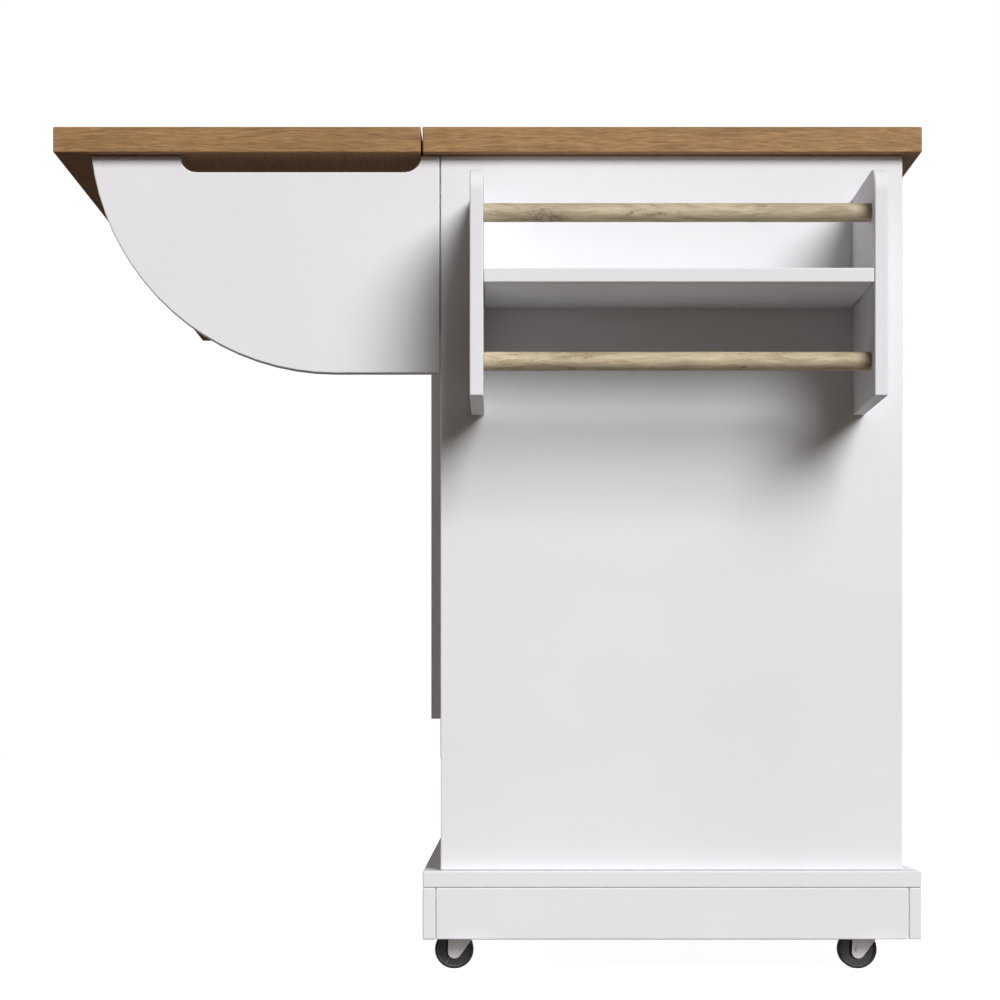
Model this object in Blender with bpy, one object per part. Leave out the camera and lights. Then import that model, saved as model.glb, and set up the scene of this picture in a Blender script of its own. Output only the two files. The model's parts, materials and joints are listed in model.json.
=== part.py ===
"""Kitchen island cart on casters, with a drop leaf, an end rack, doors and drawers.

Metres, +Z up. The origin is on the floor under the middle of the cart's bounding box.
X runs from the leaf's free edge (back, -X) to the storage front (+X).
Y runs from the end that carries the rack (near, -Y) to the plain end (far, +Y).
"""

import math

import bmesh
import bpy
from mathutils import Matrix, Vector

# Driving dimensions
HEIGHT = 0.920
TOP_THICKNESS = 0.028
TOP_WIDTH = 0.543
TOP_LENGTH = 1.350
LEAF_WIDTH = 0.400
LEAF_GAP = 0.002  # seam between worktop and leaf
OVERHANG = 0.019  # worktop and plinth past the cabinet, back and front
END_OVERHANG = 0.014  # the same, at the two ends
PANEL = 0.018  # cabinet boards
BOARD = 0.015  # brackets, rack shelf and back panel
THIN_BOARD = 0.014  # rack sides and plinth skirts
TOUCH = 0.0003  # clearance between pieces that rest on each other
REVEAL = 0.002  # visible joint around a door or drawer front
EDGE = 0.001  # eased edge of a board
RACK_DEPTH = 0.165
HANDLE_OUT = 0.028

# Heights
TOP_UNDERSIDE = HEIGHT - TOP_THICKNESS
SKIRT_BOTTOM = 0.036
DECK_BOTTOM = 0.0925
DECK_TOP = DECK_BOTTOM + PANEL

# Extents, centred on the origin
SPAN_X = LEAF_WIDTH + LEAF_GAP + TOP_WIDTH - OVERHANG + HANDLE_OUT
SPAN_Y = RACK_DEPTH + TOP_LENGTH - END_OVERHANG
LEAF_EDGE = -SPAN_X / 2
TOP_BACK = LEAF_EDGE + LEAF_WIDTH + LEAF_GAP
TOP_FRONT = TOP_BACK + TOP_WIDTH
BACK = TOP_BACK + OVERHANG
FRONT = TOP_FRONT - OVERHANG
RACK_FACE = -SPAN_Y / 2
NEAR = RACK_FACE + RACK_DEPTH
FAR = SPAN_Y / 2 - END_OVERHANG
TOP_NEAR = NEAR - END_OVERHANG
TOP_FAR = FAR + END_OVERHANG
MIDDLE = (NEAR + FAR) / 2

# Inside of the cabinet
MIDDLE_BAY = 0.400
INNER_NEAR = NEAR + PANEL
INNER_FAR = FAR - PANEL
DIVIDER_NEAR = MIDDLE - MIDDLE_BAY / 2 - PANEL
DIVIDER_FAR = MIDDLE + MIDDLE_BAY / 2
SHELF_HEIGHT = 0.480
SHELF_SETBACK = 0.040

# Doors, drawers and handles
RAIL = 0.055  # width of the frame around a sunk panel
SUNK = 0.005
BEAD = 0.004  # sloped edge between the frame and its sunk panel
DRAWER_FRONT = 0.180
DRAWER_BOX_HEIGHT = 0.130
DRAWER_BOX_DEPTH = 0.420
DRAWER_SIDE_GAP = 0.013
DRAWER_WALL = 0.012
DRAWER_BOTTOM = 0.008
HANDLE_LENGTH = 0.140
HANDLE_BAR = 0.007
HANDLE_WIDTH = 0.011
HANDLE_ROUND = 0.008
DOOR_HANDLE_INSET = 0.028
DOOR_HANDLE_BELOW_TOP = 0.110

# Brackets that swing out under the leaf
BRACKET_REACH = 0.381
BRACKET_BOTTOM = 0.654
BRACKET_FLAT = 0.1145  # level stretch of the bottom edge, from the hinge edge
BRACKET_ROUND = 0.268
BRACKET_NOTCH = (0.020, 0.284)
BRACKET_SEAM = 0.001
NOTCH_DEPTH = 0.018
WING_REACH = 0.360
WING_BOTTOM = 0.276
WING_FLAT = 0.090
WING_NOTCH = (0.195, 0.315)
WING_FROM_NEAR_EDGE = 0.433
SUPPORT_TOP = TOP_UNDERSIDE - TOUCH

# Hinges
PIVOT_OUT = 0.0035  # from a hinge's pivot to the surfaces that its plates are on
KNUCKLE = 0.0032
HINGE_PLATE = 0.0015
KNUCKLE_GAP = 0.0004
LEAF_HINGE_LENGTH = 0.060
LEAF_HINGE_FROM_END = 0.180
LEAF_HINGE_FIXED_WIDTH = 0.017
LEAF_HINGE_MOVING_WIDTH = 0.040
SUPPORT_HINGE_WIDTH = 0.022
BRACKET_HINGE_LENGTH = 0.150
WING_HINGE_LENGTH = 0.420

# End rack
RACK_BOTTOM = 0.608
RACK_TOP = 0.845
RACK_BACK_MARGIN = 0.034
RACK_FRONT_MARGIN = 0.041
RACK_ROUND = 0.026
RACK_SHELF_TOP = 0.7395
RACK_SHELF_RECESS = 0.001
ROD_RADIUS = 0.010
ROD_FROM_FACE = 0.030
ROD_HEIGHTS = {"upper": 0.8018, "lower": 0.6474}

# Casters
WHEEL_RADIUS = 0.0214
WHEEL_WIDTH = 0.016
WHEEL_TRAIL = 0.015
CASTER_SIDE_INSET = 0.0485
CASTER_END_INSET = 0.053
PLATE_SIZE = 0.040
PLATE_TOP = 0.052
PLATE_THICKNESS = 0.002
FORK_TOP = 0.0455
FORK_SHEET = 0.0016
FORK_HALF_WIDTH = 0.0108
AXLE_RADIUS = 0.0030
AXLE_CLEARANCE = 0.0004
AXLE_HEAD = 0.0012  # how far the axle stands out of the fork
HUB_RADIUS = 0.0065
RIM_RADIUS = 0.0190
WEB_HALF_WIDTH = 0.0060
TREAD_ROUND = 0.0014
FORK_LOBE = 0.0073
FORK_LOBE_DROP = 0.0026  # from the axle down to the middle of the round end
FORK_LOBE_SHIFT = 0.0004
FORK_HEEL = 0.0210  # from the swivel axis to the fork's rear edge
FORK_SHOULDER = 0.0105  # from the swivel axis to its front edge
FORK_LIP = 0.0050
NECK_RADIUS = 0.0075
BATTEN_WIDTH = 0.095

# Facets
KNUCKLE_FACETS = 12
ROD_FACETS = 24
WHEEL_FACETS = 28
NECK_FACETS = 20
AXLE_FACETS = 14

DIRECTIONS = {
    "+X": Vector((1, 0, 0)),
    "-X": Vector((-1, 0, 0)),
    "+Y": Vector((0, 1, 0)),
    "-Y": Vector((0, -1, 0)),
    "+Z": Vector((0, 0, 1)),
}

MATERIALS = {}


def material(name, colour, roughness, metallic=0.0):
    """A Principled material, kept by name."""
    made = bpy.data.materials.new(name)
    made.use_nodes = True
    shader = made.node_tree.nodes["Principled BSDF"]
    shader.inputs["Base Color"].default_value = (*colour, 1.0)
    shader.inputs["Roughness"].default_value = roughness
    shader.inputs["Metallic"].default_value = metallic
    MATERIALS[name] = made


def make_materials():
    material("white_paint", (0.80, 0.80, 0.82), 0.45)
    material("oak_laminate", (0.37, 0.21, 0.09), 0.50)
    material("rustic_rod", (0.58, 0.50, 0.34), 0.60)
    material("cabinet_inside", (0.78, 0.78, 0.78), 0.55)
    material("hinge_steel", (0.55, 0.55, 0.56), 0.35, 1.0)
    material("handle_nickel", (0.60, 0.59, 0.57), 0.30, 1.0)
    material("fork_steel", (0.62, 0.60, 0.57), 0.35, 1.0)
    material("wheel_plastic", (0.03, 0.03, 0.035), 0.50)


def world_position(item):
    """Where an unrotated object stands, from its parents' locations."""
    if item.parent is None:
        return item.location.copy()
    return item.location + world_position(item.parent)


def stand(item, at, parent):
    """Puts an object at a world position, under its parent if it has one."""
    item.parent = parent
    item.location = Vector(at) - (world_position(parent) if parent else Vector())


def pivot(name, at):
    """An empty on a joint's axis, for the pieces that turn together."""
    empty = bpy.data.objects.new(name, None)
    empty.empty_display_size = 0.03
    bpy.context.scene.collection.objects.link(empty)
    stand(empty, at, None)
    return empty


def node(name, mesh, finish, at=(0, 0, 0), parent=None, smooth=False):
    """One named piece of the cart, its mesh given around the position at."""
    piece = bpy.data.objects.new(name, mesh)
    bpy.context.scene.collection.objects.link(piece)
    if not mesh.materials:
        mesh.materials.append(MATERIALS[finish])
    if smooth:
        mesh.shade_smooth()
        mesh.set_sharp_from_angle(angle=math.radians(35))
    stand(piece, at, parent)
    return piece


def finished(shape, name):
    """Turns a bmesh into a mesh whose faces point out."""
    bmesh.ops.recalc_face_normals(shape, faces=shape.faces)
    mesh = bpy.data.meshes.new(name)
    shape.to_mesh(mesh)
    shape.free()
    return mesh


def box_shape(low, high):
    """A closed box between two corners."""
    low, high = Vector(low), Vector(high)
    shape = bmesh.new()
    bmesh.ops.create_cube(shape, size=1.0)
    bmesh.ops.scale(shape, vec=high - low, verts=shape.verts)
    bmesh.ops.translate(shape, vec=(low + high) / 2, verts=shape.verts)
    return shape


def ease(piece, width=EDGE):
    """Takes the sharpness off a board's edges."""
    bevel = piece.modifiers.new("eased_edges", "BEVEL")
    bevel.width = width
    bevel.segments = 1
    bevel.limit_method = "ANGLE"
    bevel.angle_limit = math.radians(40)


def board(name, low, high, finish="white_paint", origin=None, parent=None):
    """A rectangular board between two world corners."""
    low, high = Vector(low), Vector(high)
    at = Vector(origin) if origin else (low + high) / 2
    piece = node(name, finished(box_shape(low - at, high - at), name), finish, at, parent)
    ease(piece)
    return piece


def prism_shape(outline, start, end, place):
    """An outline of (u, v) points drawn out from depth start to depth end; place gives x, y, z."""
    shape = bmesh.new()
    rings = []
    for depth in (start, end):
        rings.append([shape.verts.new(place(u, v, depth)) for u, v in outline])
    shape.faces.new(rings[0])
    shape.faces.new(rings[1])
    count = len(outline)
    for i in range(count):
        j = (i + 1) % count
        shape.faces.new((rings[0][i], rings[0][j], rings[1][j], rings[1][i]))
    return shape


def arc(centre, radius_u, radius_v, start, end, steps):
    """Points on an ellipse's arc, from the angle start to the angle end in degrees, both included."""
    points = []
    for i in range(steps + 1):
        angle = math.radians(start + (end - start) * i / steps)
        points.append((centre[0] + radius_u * math.cos(angle), centre[1] + radius_v * math.sin(angle)))
    return points


def cylinder_shape(radius, start, end, segments, turn):
    """A cylinder along local Z between two depths, turned by a matrix."""
    shape = bmesh.new()
    bmesh.ops.create_cone(
        shape, cap_ends=True, segments=segments, radius1=radius, radius2=radius, depth=end - start
    )
    bmesh.ops.translate(shape, vec=(0, 0, (start + end) / 2), verts=shape.verts)
    bmesh.ops.transform(shape, matrix=turn, verts=shape.verts)
    return shape


def fused(name, shapes):
    """One mesh from overlapping closed shapes."""
    pieces = []
    for i, shape in enumerate(shapes):
        piece = bpy.data.objects.new(f"{name}_{i}", finished(shape, f"{name}_{i}"))
        bpy.context.scene.collection.objects.link(piece)
        pieces.append(piece)
    base, *others = pieces
    for other in others:
        union = base.modifiers.new("union", "BOOLEAN")
        union.operation = "UNION"
        union.object = other
    bpy.context.view_layer.update()
    evaluated = base.evaluated_get(bpy.context.evaluated_depsgraph_get())
    mesh = bpy.data.meshes.new_from_object(evaluated)
    mesh.name = name
    for piece in pieces:
        bpy.data.objects.remove(piece)
    return mesh


def make_top():
    board(
        "worktop",
        (TOP_BACK, TOP_NEAR, TOP_UNDERSIDE),
        (TOP_FRONT, TOP_FAR, HEIGHT),
        "oak_laminate",
    )
    axis = pivot("leaf_axis", (TOP_BACK - LEAF_GAP / 2, MIDDLE, TOP_UNDERSIDE - PIVOT_OUT))
    board(
        "drop_leaf",
        (LEAF_EDGE, TOP_NEAR, TOP_UNDERSIDE),
        (LEAF_EDGE + LEAF_WIDTH, TOP_FAR, HEIGHT),
        "oak_laminate",
        parent=axis,
    )
    positions = {
        "near": TOP_NEAR + LEAF_HINGE_FROM_END,
        "mid": MIDDLE,
        "far": TOP_FAR - LEAF_HINGE_FROM_END,
    }
    for place, y in positions.items():
        at = Vector((axis.location.x, y, axis.location.z))
        hinge_plate(
            f"leaf_hinge_{place}_fixed", at, "+X", "+Z", LEAF_HINGE_FIXED_WIDTH, LEAF_HINGE_LENGTH, True
        )
        hinge_plate(
            f"leaf_hinge_{place}_moving", at, "-X", "+Z", LEAF_HINGE_MOVING_WIDTH, LEAF_HINGE_LENGTH,
            False, axis,
        )


def hinge_plate(name, at, away, surface, width, length, middle, parent=None):
    """Half of a butt hinge: its plate reaches away from the pivot, on the side of the surface it is on.

    The half with the middle knuckle has middle set; the other half has the two outer knuckles.
    """
    across = DIRECTIONS[away]
    normal = DIRECTIONS[surface]
    along = across.cross(normal)
    turn = Matrix((across, normal, along)).transposed().to_4x4()
    third = length / 3
    if middle:
        spans = [(-third / 2 + KNUCKLE_GAP, third / 2 - KNUCKLE_GAP)]
    else:
        spans = [(-length / 2, -third / 2), (third / 2, length / 2)]
    plate_outer = PIVOT_OUT - TOUCH
    plate_inner = plate_outer - HINGE_PLATE
    clear = KNUCKLE + 2 * KNUCKLE_GAP
    shapes = [box_shape((clear, plate_inner, -length / 2), (width, plate_outer, length / 2))]
    for start, end in spans:
        shapes.append(box_shape((0, plate_inner, start), (2 * clear, plate_outer, end)))
        shapes.append(cylinder_shape(KNUCKLE, start, end, KNUCKLE_FACETS, Matrix()))
    for shape in shapes:
        bmesh.ops.transform(shape, matrix=turn, verts=shape.verts)
    node(name, fused(name, shapes), "hinge_steel", at, parent, smooth=True)


def notch_points(notch, top):
    """The rounded slot in a support's top edge, from its far end back towards the hinge edge."""
    start, end = notch
    outer = arc((end - NOTCH_DEPTH, top), NOTCH_DEPTH, NOTCH_DEPTH, 0, -90, 5)
    inner = arc((start + NOTCH_DEPTH, top), NOTCH_DEPTH, NOTCH_DEPTH, -90, -180, 5)
    return outer + inner


def bracket_outline():
    """A leaf bracket from its hinge edge at u = 0: level bottom, then a round up to its tip."""
    top = SUPPORT_TOP
    centre = (BRACKET_FLAT, BRACKET_BOTTOM + BRACKET_ROUND)
    tip = math.degrees(math.asin((top - centre[1]) / BRACKET_ROUND))
    lower = arc(centre, BRACKET_ROUND, BRACKET_ROUND, -90, tip, 18)
    return [(0, top), (0, BRACKET_BOTTOM)] + lower + notch_points(BRACKET_NOTCH, top)


def wing_outline():
    """The tall middle support: a narrow foot, widening in a long curve to its tip under the leaf."""
    top = SUPPORT_TOP
    rise = top - WING_BOTTOM
    centre = (WING_FLAT, top)
    lower = arc(centre, WING_REACH - WING_FLAT, rise, -90, 0, 18)
    return [(0, top), (0, WING_BOTTOM)] + lower + notch_points(WING_NOTCH, top)


def make_open_bracket():
    """The near bracket stands open at rest, its outer face level with the end panel's."""
    inner_face = NEAR + BOARD
    axis = pivot("bracket_near_axis", (BACK - PIVOT_OUT, inner_face + PIVOT_OUT, 0))
    hinge_edge = BACK - BRACKET_SEAM - axis.location.x
    inner = inner_face - axis.location.y
    shape = prism_shape(
        bracket_outline(), inner - BOARD, inner, lambda u, v, depth: (hinge_edge - u, depth, v)
    )
    ease(node("bracket_near", finished(shape, "bracket_near"), "white_paint", axis.location, axis))
    at = Vector((axis.location.x, axis.location.y, (BRACKET_BOTTOM + TOP_UNDERSIDE) / 2))
    hinge_plate("bracket_near_hinge_fixed", at, "+Y", "+X", SUPPORT_HINGE_WIDTH, BRACKET_HINGE_LENGTH, True)
    hinge_plate(
        "bracket_near_hinge_moving", at, "-X", "-Y", SUPPORT_HINGE_WIDTH, BRACKET_HINGE_LENGTH, False, axis
    )


def make_folded_support(name, outline, hinge_y, side, hinge_height, hinge_length):
    """A support folded flat on the back: side is +1 if it points to the far end, -1 to the near end."""
    axis = pivot(f"{name}_axis", (BACK - PIVOT_OUT, hinge_y, 0))
    start = side * (BRACKET_SEAM - PIVOT_OUT)
    shape = prism_shape(
        outline, -PIVOT_OUT - BOARD, -PIVOT_OUT, lambda u, v, depth: (depth, start + side * u, v)
    )
    ease(node(name, finished(shape, name), "white_paint", axis.location, axis))
    away = "+Y" if side > 0 else "-Y"
    at = Vector((axis.location.x, hinge_y, hinge_height))
    hinge_plate(f"{name}_hinge_fixed", at, away, "+X", SUPPORT_HINGE_WIDTH, hinge_length, True)
    hinge_plate(f"{name}_hinge_moving", at, away, "-X", SUPPORT_HINGE_WIDTH, hinge_length, False, axis)


def make_supports():
    make_open_bracket()
    make_folded_support(
        "bracket_far",
        bracket_outline(),
        FAR - BOARD - PIVOT_OUT,
        -1,
        (BRACKET_BOTTOM + TOP_UNDERSIDE) / 2,
        BRACKET_HINGE_LENGTH,
    )
    make_folded_support(
        "support_wing",
        wing_outline(),
        TOP_NEAR + WING_FROM_NEAR_EDGE + PIVOT_OUT - BRACKET_SEAM,
        1,
        (WING_BOTTOM + TOP_UNDERSIDE) / 2,
        WING_HINGE_LENGTH,
    )


def make_cabinet():
    low, high = DECK_TOP + TOUCH, TOP_UNDERSIDE - TOUCH
    inner_back = BACK + BOARD + TOUCH
    board("end_panel_near", (BACK, NEAR, low), (FRONT, INNER_NEAR, high))
    board("end_panel_far", (BACK, INNER_FAR, low), (FRONT, FAR, high))
    board("back_panel", (BACK, INNER_NEAR + TOUCH, low), (BACK + BOARD, INNER_FAR - TOUCH, high))
    for name, y in (("divider_near", DIVIDER_NEAR), ("divider_far", DIVIDER_FAR)):
        board(name, (inner_back, y, low), (FRONT, y + PANEL, high))
    bays = {
        "shelf_near": (INNER_NEAR, DIVIDER_NEAR),
        "shelf_far": (DIVIDER_FAR + PANEL, INNER_FAR),
    }
    for name, (start, end) in bays.items():
        board(
            name,
            (inner_back, start + EDGE, SHELF_HEIGHT),
            (FRONT - SHELF_SETBACK, end - EDGE, SHELF_HEIGHT + PANEL),
            "cabinet_inside",
        )
    shelf_top = drawer_bottoms()["lower"] - REVEAL
    board(
        "middle_shelf",
        (inner_back, DIVIDER_NEAR + PANEL + TOUCH, shelf_top - PANEL),
        (FRONT, DIVIDER_FAR - TOUCH, shelf_top),
        "cabinet_inside",
    )


def front_shape(low, high):
    """A door or drawer front: a frame around a sunk panel, facing +X."""
    shape = box_shape(low, high)
    face = max(shape.faces, key=lambda f: f.calc_center_median().x)
    bmesh.ops.inset_region(shape, faces=[face], thickness=RAIL, use_even_offset=True)
    bmesh.ops.inset_region(shape, faces=[face], thickness=BEAD, depth=-SUNK, use_even_offset=True)
    return shape


def handle_mesh(name, upright, base):
    """A flat bar bent into a pull: its feet at depth base, its grip HANDLE_OUT from the frame."""
    half = HANDLE_LENGTH / 2
    out = HANDLE_OUT
    inner_round = HANDLE_ROUND - HANDLE_BAR
    corner = half - HANDLE_ROUND
    level = out - HANDLE_ROUND
    outline = [(-half, base)]
    outline += arc((-corner, level), HANDLE_ROUND, HANDLE_ROUND, 180, 90, 4)
    outline += arc((corner, level), HANDLE_ROUND, HANDLE_ROUND, 90, 0, 4)
    outline += [(half, base), (half - HANDLE_BAR, base)]
    outline += arc((corner, level), inner_round, inner_round, 0, 90, 1)
    outline += arc((-corner, level), inner_round, inner_round, 90, 180, 1)
    outline += [(-half + HANDLE_BAR, base)]
    side = HANDLE_WIDTH / 2
    if upright:
        shape = prism_shape(outline, -side, side, lambda u, v, depth: (v, depth, u))
    else:
        shape = prism_shape(outline, -side, side, lambda u, v, depth: (v, u, depth))
    return finished(shape, name)


def make_door(name, hinge_y, free_y):
    """An inset door; its hinge axis is the front corner of its hinge edge."""
    at = Vector((FRONT, hinge_y, DECK_TOP + REVEAL))
    height = TOP_UNDERSIDE - REVEAL - at.z
    start, end = sorted((0, free_y - hinge_y))
    mesh = finished(front_shape((-PANEL, start, 0), (0, end, height)), name)
    door = node(name, mesh, "white_paint", at)
    inward = math.copysign(DOOR_HANDLE_INSET, free_y - hinge_y)
    grip = Vector((FRONT, free_y - inward, TOP_UNDERSIDE - DOOR_HANDLE_BELOW_TOP - HANDLE_LENGTH / 2))
    node(f"{name}_handle", handle_mesh(f"{name}_handle", True, TOUCH), "handle_nickel", grip, door)


def drawer_bottoms():
    """Height of each drawer front's lower edge."""
    upper = TOP_UNDERSIDE - REVEAL - DRAWER_FRONT
    return {"upper": upper, "lower": upper - REVEAL - DRAWER_FRONT}


def drawer_box_shape(low, high):
    """An open-topped box with thin walls."""
    shape = box_shape(low, high)
    top = max(shape.faces, key=lambda f: f.calc_center_median().z)
    bmesh.ops.inset_region(shape, faces=[top], thickness=DRAWER_WALL, use_even_offset=True)
    grown = bmesh.ops.extrude_face_region(shape, geom=[top])
    floor = [item for item in grown["geom"] if isinstance(item, bmesh.types.BMVert)]
    bmesh.ops.translate(shape, vec=(0, 0, low[2] + DRAWER_BOTTOM - high[2]), verts=floor)
    if top.is_valid:
        bmesh.ops.delete(shape, geom=[top], context="FACES_ONLY")
    return shape


def make_drawer(place, bottom):
    name = f"drawer_{place}"
    start = DIVIDER_NEAR + PANEL + REVEAL
    end = DIVIDER_FAR - REVEAL
    width = end - start
    at = Vector((FRONT, MIDDLE, bottom))
    mesh = finished(front_shape((-PANEL, -width / 2, 0), (0, width / 2, DRAWER_FRONT)), name)
    front = node(f"{name}_front", mesh, "white_paint", at)
    half = MIDDLE_BAY / 2 - DRAWER_SIDE_GAP
    back_of_front = -PANEL - TOUCH
    lift = (DRAWER_FRONT - DRAWER_BOX_HEIGHT) / 2
    shape = drawer_box_shape(
        (back_of_front - DRAWER_BOX_DEPTH, -half, lift),
        (back_of_front, half, lift + DRAWER_BOX_HEIGHT),
    )
    node(f"{name}_box", finished(shape, f"{name}_box"), "cabinet_inside", at, front)
    grip = at + Vector((0, 0, DRAWER_FRONT / 2))
    mesh = handle_mesh(f"{name}_handle", False, TOUCH - SUNK)
    node(f"{name}_handle", mesh, "handle_nickel", grip, front)


def make_fronts():
    make_door("door_near", INNER_NEAR + REVEAL, DIVIDER_NEAR - REVEAL)
    make_door("door_far", INNER_FAR - REVEAL, DIVIDER_FAR + PANEL + REVEAL)
    for place, bottom in drawer_bottoms().items():
        make_drawer(place, bottom)


def make_rack():
    """The end rack: two sides, a shelf between them and two rods."""
    base = NEAR - TOUCH
    left = BACK + RACK_BACK_MARGIN
    right = FRONT - RACK_FRONT_MARGIN
    round_centre = (RACK_FACE + RACK_ROUND, RACK_TOP - RACK_ROUND)
    outline = [(base, RACK_TOP), (base, RACK_BOTTOM), (RACK_FACE, RACK_BOTTOM)]
    outline += arc(round_centre, RACK_ROUND, RACK_ROUND, 180, 90, 8)
    half_side = THIN_BOARD / 2
    for name, x in (("rack_side_back", left + half_side), ("rack_side_front", right - half_side)):
        shape = prism_shape(outline, -half_side, half_side, lambda u, v, depth: (depth, u, v))
        ease(node(name, finished(shape, name), "white_paint", (x, 0, 0)))
    inner_left = left + THIN_BOARD + TOUCH
    inner_right = right - THIN_BOARD - TOUCH
    board(
        "rack_shelf",
        (inner_left, RACK_FACE + RACK_SHELF_RECESS, RACK_SHELF_TOP - BOARD),
        (inner_right, base, RACK_SHELF_TOP),
    )
    along_x = Matrix.Rotation(math.radians(90), 4, "Y")
    half = (inner_right - inner_left) / 2
    for place, z in ROD_HEIGHTS.items():
        name = f"rack_rod_{place}"
        shape = cylinder_shape(ROD_RADIUS, -half, half, ROD_FACETS, along_x)
        at = ((inner_left + inner_right) / 2, RACK_FACE + ROD_FROM_FACE, z)
        node(name, finished(shape, name), "rustic_rod", at, smooth=True)


def make_plinth():
    board(
        "plinth_deck",
        (TOP_BACK, TOP_NEAR, DECK_BOTTOM),
        (TOP_FRONT, TOP_FAR, DECK_TOP),
    )
    low, high = SKIRT_BOTTOM, DECK_BOTTOM - TOUCH
    board("plinth_skirt_back", (TOP_BACK, TOP_NEAR, low), (TOP_BACK + THIN_BOARD, TOP_FAR, high))
    board("plinth_skirt_front", (TOP_FRONT - THIN_BOARD, TOP_NEAR, low), (TOP_FRONT, TOP_FAR, high))
    start = TOP_BACK + THIN_BOARD + TOUCH
    end = TOP_FRONT - THIN_BOARD - TOUCH
    board("plinth_skirt_near", (start, TOP_NEAR, low), (end, TOP_NEAR + THIN_BOARD, high))
    board("plinth_skirt_far", (start, TOP_FAR - THIN_BOARD, low), (end, TOP_FAR, high))
    inset = THIN_BOARD + TOUCH
    batten_low = PLATE_TOP + TOUCH
    board(
        "caster_batten_near",
        (start, TOP_NEAR + inset, batten_low),
        (end, TOP_NEAR + inset + BATTEN_WIDTH, high),
    )
    board(
        "caster_batten_far",
        (start, TOP_FAR - inset - BATTEN_WIDTH, batten_low),
        (end, TOP_FAR - inset, high),
    )


def wheel_mesh():
    """A turned wheel about the Y axis: hub, thin web and rounded tread."""
    bore = AXLE_RADIUS + AXLE_CLEARANCE
    half = WHEEL_WIDTH / 2
    side = [
        (bore, half),
        (HUB_RADIUS, half),
        (HUB_RADIUS, WEB_HALF_WIDTH),
        (RIM_RADIUS, WEB_HALF_WIDTH),
        (RIM_RADIUS, half),
    ]
    side += arc((WHEEL_RADIUS - TREAD_ROUND, half - TREAD_ROUND), TREAD_ROUND, TREAD_ROUND, 90, 0, 3)
    profile = side + [(radius, -offset) for radius, offset in reversed(side)]
    shape = bmesh.new()
    rings = []
    for i in range(WHEEL_FACETS):
        angle = 2 * math.pi * i / WHEEL_FACETS - math.pi / 2
        c, s = math.cos(angle), math.sin(angle)
        rings.append([shape.verts.new((radius * c, offset, radius * s)) for radius, offset in profile])
    count = len(profile)
    for i in range(WHEEL_FACETS):
        ring, following = rings[i], rings[(i + 1) % WHEEL_FACETS]
        for j in range(count):
            k = (j + 1) % count
            shape.faces.new((ring[j], ring[k], following[k], following[j]))
    return finished(shape, "caster_wheel")


def fork_mesh():
    """The fork around the swivel axis: neck, top sheet, two tapered cheeks and the wheel's axle."""
    axle = (-WHEEL_TRAIL, WHEEL_RADIUS)
    lobe = (axle[0] + FORK_LOBE_SHIFT, axle[1] - FORK_LOBE_DROP)
    outline = arc(lobe, FORK_LOBE, FORK_LOBE, -32, -184, 10)
    outline += [(-FORK_HEEL, FORK_TOP), (FORK_SHOULDER, FORK_TOP), (FORK_SHOULDER, FORK_TOP - FORK_LIP)]
    inner = FORK_HALF_WIDTH - FORK_SHEET
    cheeks = []
    for start, end in ((-FORK_HALF_WIDTH, -inner), (inner, FORK_HALF_WIDTH)):
        cheeks.append(prism_shape(outline, start, end, lambda u, v, depth: (u, depth, v)))
    top = box_shape(
        (-FORK_HEEL, -FORK_HALF_WIDTH, FORK_TOP - FORK_SHEET), (FORK_SHOULDER, FORK_HALF_WIDTH, FORK_TOP)
    )
    neck_top = PLATE_TOP - PLATE_THICKNESS - TOUCH
    neck = cylinder_shape(NECK_RADIUS, FORK_TOP - FORK_SHEET / 2, neck_top, NECK_FACETS, Matrix())
    along_y = Matrix.Rotation(math.radians(90), 4, "X")
    reach = FORK_HALF_WIDTH + AXLE_HEAD
    pin = cylinder_shape(AXLE_RADIUS, -reach, reach, AXLE_FACETS, along_y)
    bmesh.ops.translate(pin, vec=(axle[0], 0, axle[1]), verts=pin.verts)
    return fused("caster_fork", [top, *cheeks, neck, pin])


def make_casters():
    wheel = wheel_mesh()
    fork = fork_mesh()
    plate_low = PLATE_TOP - PLATE_THICKNESS
    xs = {"back": TOP_BACK + CASTER_SIDE_INSET, "front": TOP_FRONT - CASTER_SIDE_INSET}
    ys = {"near": TOP_NEAR + CASTER_END_INSET, "far": TOP_FAR - CASTER_END_INSET}
    for end, y in ys.items():
        for side, x in xs.items():
            name = f"caster_{end}_{side}"
            half = PLATE_SIZE / 2
            board(f"{name}_plate", (x - half, y - half, plate_low), (x + half, y + half, PLATE_TOP),
                  "fork_steel")
            body = node(f"{name}_fork", fork, "fork_steel", (x, y, 0), smooth=True)
            at = (x - WHEEL_TRAIL, y, WHEEL_RADIUS)
            node(f"{name}_wheel", wheel, "wheel_plastic", at, body, smooth=True)


def clear_scene():
    for item in list(bpy.data.objects):
        bpy.data.objects.remove(item, do_unlink=True)


def main():
    clear_scene()
    make_materials()
    make_top()
    make_supports()
    make_cabinet()
    make_fronts()
    make_rack()
    make_plinth()
    make_casters()


main()
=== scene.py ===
"""Looks of the rolling kitchen island cart: finer meshes, procedural materials, camera and light.

Metres, +Z up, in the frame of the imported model. The camera looks along +Y at the rack end.
"""

import json
import math

import bmesh
import bpy
from mathutils import Matrix, Vector


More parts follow.
